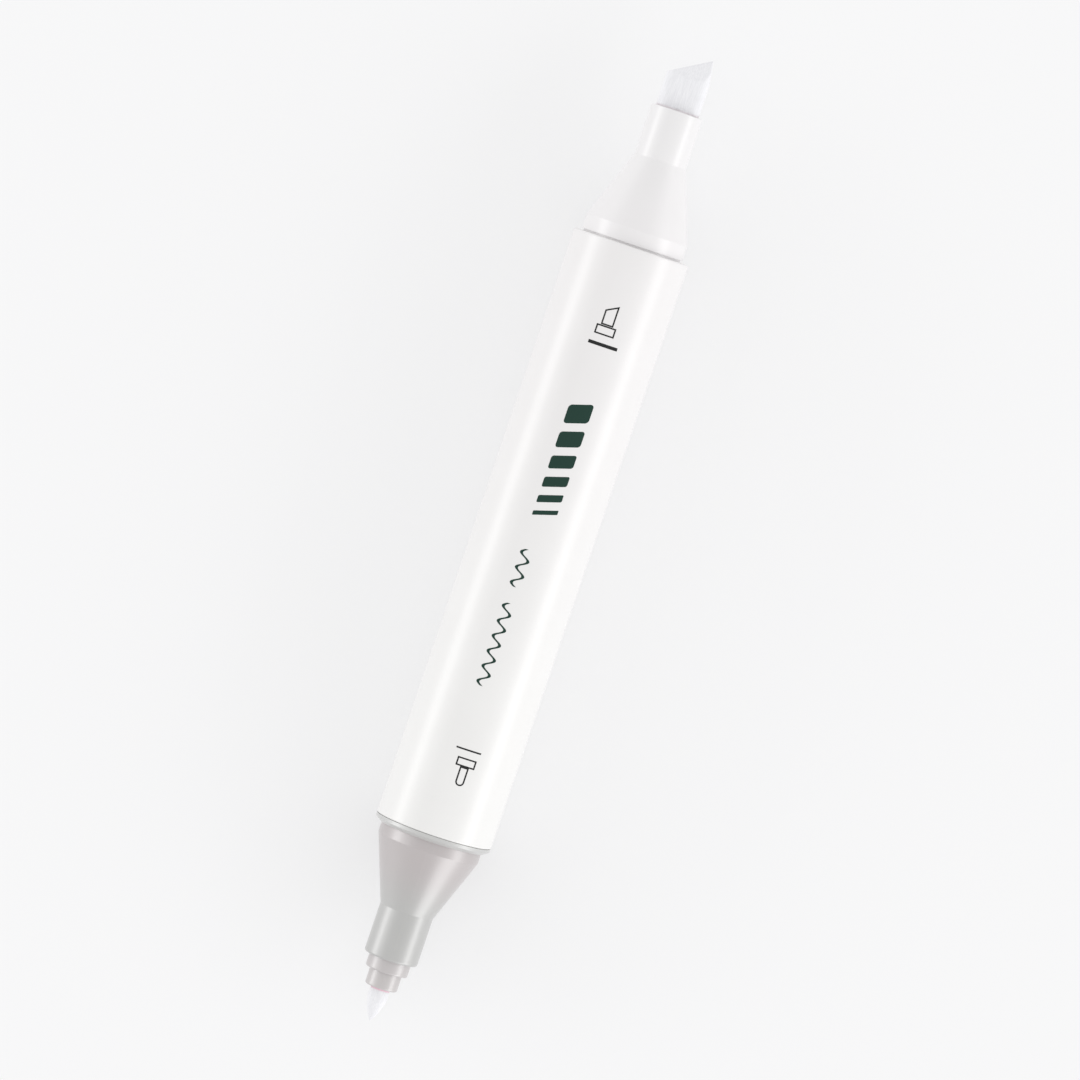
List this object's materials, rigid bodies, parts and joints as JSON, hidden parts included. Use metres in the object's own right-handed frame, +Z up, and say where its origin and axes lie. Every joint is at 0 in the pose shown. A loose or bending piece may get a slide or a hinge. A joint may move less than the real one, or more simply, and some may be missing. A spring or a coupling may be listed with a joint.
{
  "type": "felt tip marker",
  "caption": "Round double-ended felt marker without its caps: glossy barrel, stepped nib sections, a slanted flat nib and a bullet nib.",
  "frame": {"origin": "on the marker's axis, in the middle of the barrel, where it is held", "axes": "+X along the marker towards the broad nib, +Z up, the broad nib's wide face level and its long corner on -Y"},
  "size_m": [0.1361, 0.016, 0.016],
  "materials": {
    "barrel_plastic": "glossy white moulding",
    "broad_section_plastic": "satin pale white moulding",
    "fine_section_plastic": "satin warm grey moulding",
    "ferrule_plastic": "satin translucent grey moulding",
    "nib_felt": "dense pale felt, lengthways fibres",
    "reservoir_film": "thin clear wrap",
    "reservoir_fibre": "bundled fibre",
    "green_print": "dark green printed ink",
    "black_print": "near-black printed ink"
  },
  "bodies": {
    "marker": {"barrel": "barrel_plastic", "broad_section": "broad_section_plastic", "fine_section": "fine_section_plastic", "fine_ferrule": "ferrule_plastic", "reservoir_film": "reservoir_film", "reservoir_fibre": "reservoir_fibre"},
    "broad_nib": {"broad_nib": "nib_felt"},
    "fine_nib": {"fine_nib": "nib_felt"}
  },
  "joints": [
    {"name": "broad_nib_pull", "type": "slide", "parent": "marker", "child": "broad_nib", "axis": [1, 0, 0], "range_m": [0, 0.037]},
    {"name": "fine_nib_pull", "type": "slide", "parent": "marker", "child": "fine_nib", "axis": [-1, 0, 0], "range_m": [0, 0.041]}
  ]
}
